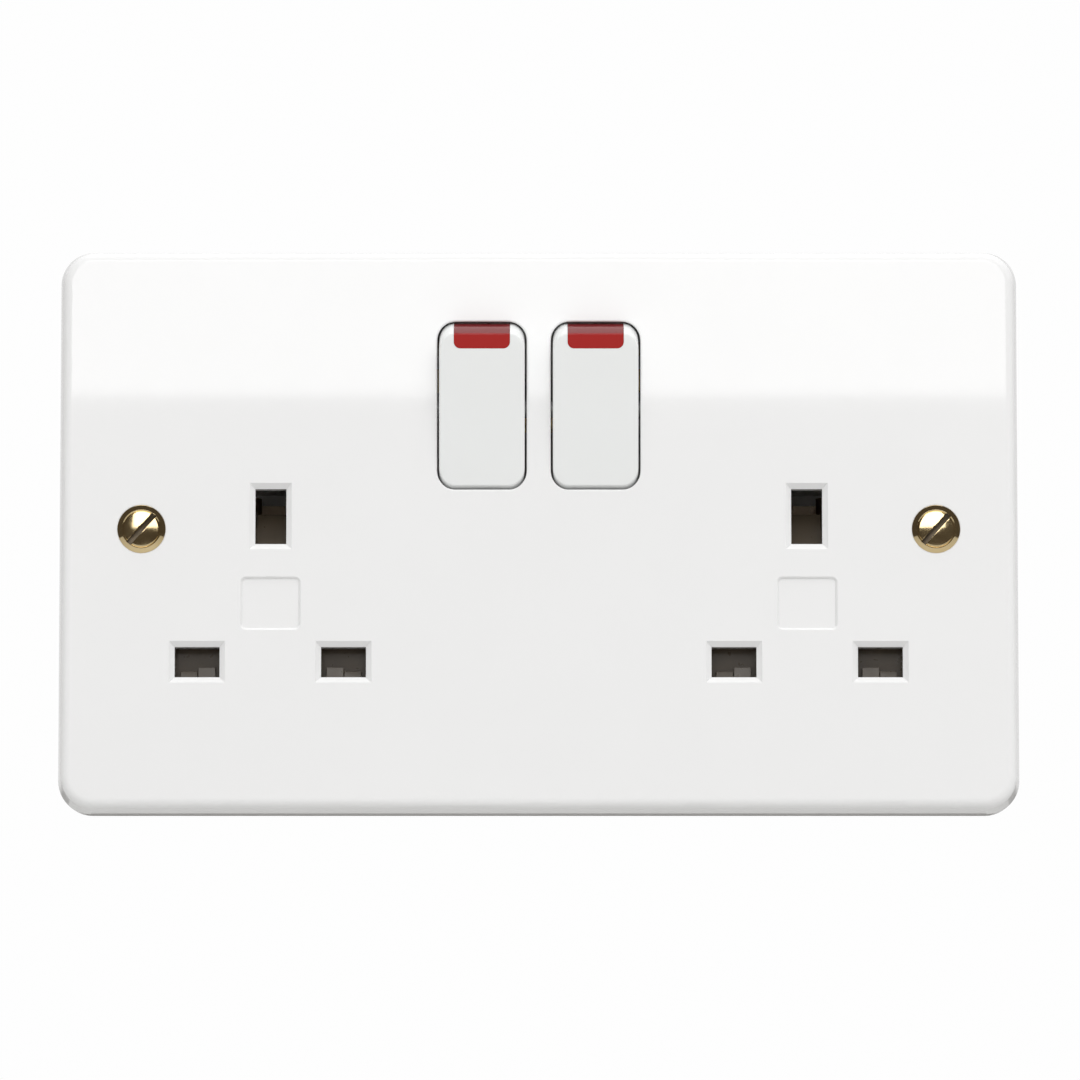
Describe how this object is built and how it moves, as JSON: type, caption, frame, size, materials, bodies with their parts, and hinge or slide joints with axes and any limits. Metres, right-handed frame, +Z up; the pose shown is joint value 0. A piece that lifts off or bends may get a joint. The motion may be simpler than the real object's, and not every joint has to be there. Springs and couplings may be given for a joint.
{
  "type": "twin switched wall socket",
  "caption": "Flush white plate with paired three-pin outlets, rocker switches with red windows and brass fixing screws, over a rear moulding that holds shutters, contacts and terminals",
  "frame": {"origin": "on the wall plane at the plate's rear edge, midway between the two fixing screws", "axes": "+X right as seen from the front, +Y into the wall, +Z up"},
  "size_m": [0.146, 0.0287, 0.086],
  "materials": {
    "plate_white": "white moulded urea, polished",
    "rocker_white": "white moulded plastic, satin gloss",
    "lens_red": "clear red moulded plastic",
    "housing_plastic": "off-white moulded plastic, matt",
    "shutter_dark": "dark brown moulded plastic",
    "plunger_nylon": "natural nylon",
    "polished_brass": "polished brass",
    "terminal_brass": "turned and sawn brass",
    "strip_brass": "stamped brass strip",
    "contact_silver": "silver alloy contact face",
    "zinc_steel": "bright zinc-plated steel",
    "spring_steel": "drawn spring wire",
    "lamp_glass": "clear glass envelope",
    "resistor_body": "lacquered ceramic with tinned wires"
  },
  "bodies": {
    "root": {"front_plate": "plate_white", "mechanism_housing": "housing_plastic", "housing_screws": "zinc_steel", "fixing_screws": "polished_brass", "screw_retainers": "zinc_steel", "neutral_strip": "strip_brass", "earth_strip": "strip_brass", "line_bar": "strip_brass", "left_earth_terminal": "terminal_brass", "neutral_terminal": "terminal_brass", "line_terminal": "terminal_brass", "right_earth_terminal": "terminal_brass", "terminal_screws": "terminal_brass", "left_fixed_contact": "contact_silver", "left_line_contact": "strip_brass", "left_shutter_spring": "spring_steel", "left_neon_lamp": "lamp_glass", "left_lamp_resistor": "resistor_body", "right_fixed_contact": "contact_silver", "right_line_contact": "strip_brass", "right_shutter_spring": "spring_steel", "right_neon_lamp": "lamp_glass", "right_lamp_resistor": "resistor_body"},
    "left_rocker": {"left_rocker": "rocker_white", "left_rocker_lens": "lens_red", "left_plunger_spring": "spring_steel"},
    "left_plunger": {"left_plunger": "plunger_nylon"},
    "left_contact_lever": {"left_contact_lever": "strip_brass", "left_moving_contact": "contact_silver"},
    "left_shutter": {"left_shutter": "shutter_dark"},
    "right_rocker": {"right_rocker": "rocker_white", "right_rocker_lens": "lens_red", "right_plunger_spring": "spring_steel"},
    "right_plunger": {"right_plunger": "plunger_nylon"},
    "right_contact_lever": {"right_contact_lever": "strip_brass", "right_moving_contact": "contact_silver"},
    "right_shutter": {"right_shutter": "shutter_dark"}
  },
  "joints": [
    {"name": "left_rocker_pivot", "type": "hinge", "parent": "root", "child": "left_rocker", "pos_m": [-0.00864, -0.0042, 0.0189], "axis": [1, 0, 0], "range_deg": [-14, 0]},
    {"name": "left_plunger_slide", "type": "slide", "parent": "left_rocker", "child": "left_plunger", "axis": [0, -0.9925, -0.1219], "range_m": [0, 0.0004], "stiffness_N_per_m": 200, "springref_m": -0.002},
    {"name": "left_lever_pivot", "type": "hinge", "parent": "root", "child": "left_contact_lever", "pos_m": [-0.00864, 0.0068, 0.0189], "axis": [1, 0, 0], "range_deg": [0, 12]},
    {"name": "left_shutter_slide", "type": "slide", "parent": "root", "child": "left_shutter", "axis": [0, 0, 1], "range_m": [-0.0055, 0], "stiffness_N_per_m": 100, "springref_m": 0.005, "deforming": ["left_shutter_spring"]},
    {"name": "right_rocker_pivot", "type": "hinge", "parent": "root", "child": "right_rocker", "pos_m": [0.00864, -0.0042, 0.0189], "axis": [1, 0, 0], "range_deg": [-14, 0]},
    {"name": "right_plunger_slide", "type": "slide", "parent": "right_rocker", "child": "right_plunger", "axis": [0, -0.9925, -0.1219], "range_m": [0, 0.0004], "stiffness_N_per_m": 200, "springref_m": -0.002},
    {"name": "right_lever_pivot", "type": "hinge", "parent": "root", "child": "right_contact_lever", "pos_m": [0.00864, 0.0068, 0.0189], "axis": [1, 0, 0], "range_deg": [0, 12]},
    {"name": "right_shutter_slide", "type": "slide", "parent": "root", "child": "right_shutter", "axis": [0, 0, 1], "range_m": [-0.0055, 0], "stiffness_N_per_m": 100, "springref_m": 0.005, "deforming": ["right_shutter_spring"]}
  ],
  "couplings": [
    {"joint": "left_lever_pivot", "follows": "left_rocker_pivot", "ratio": -0.85714},
    {"joint": "right_lever_pivot", "follows": "right_rocker_pivot", "ratio": -0.85714}
  ]
}
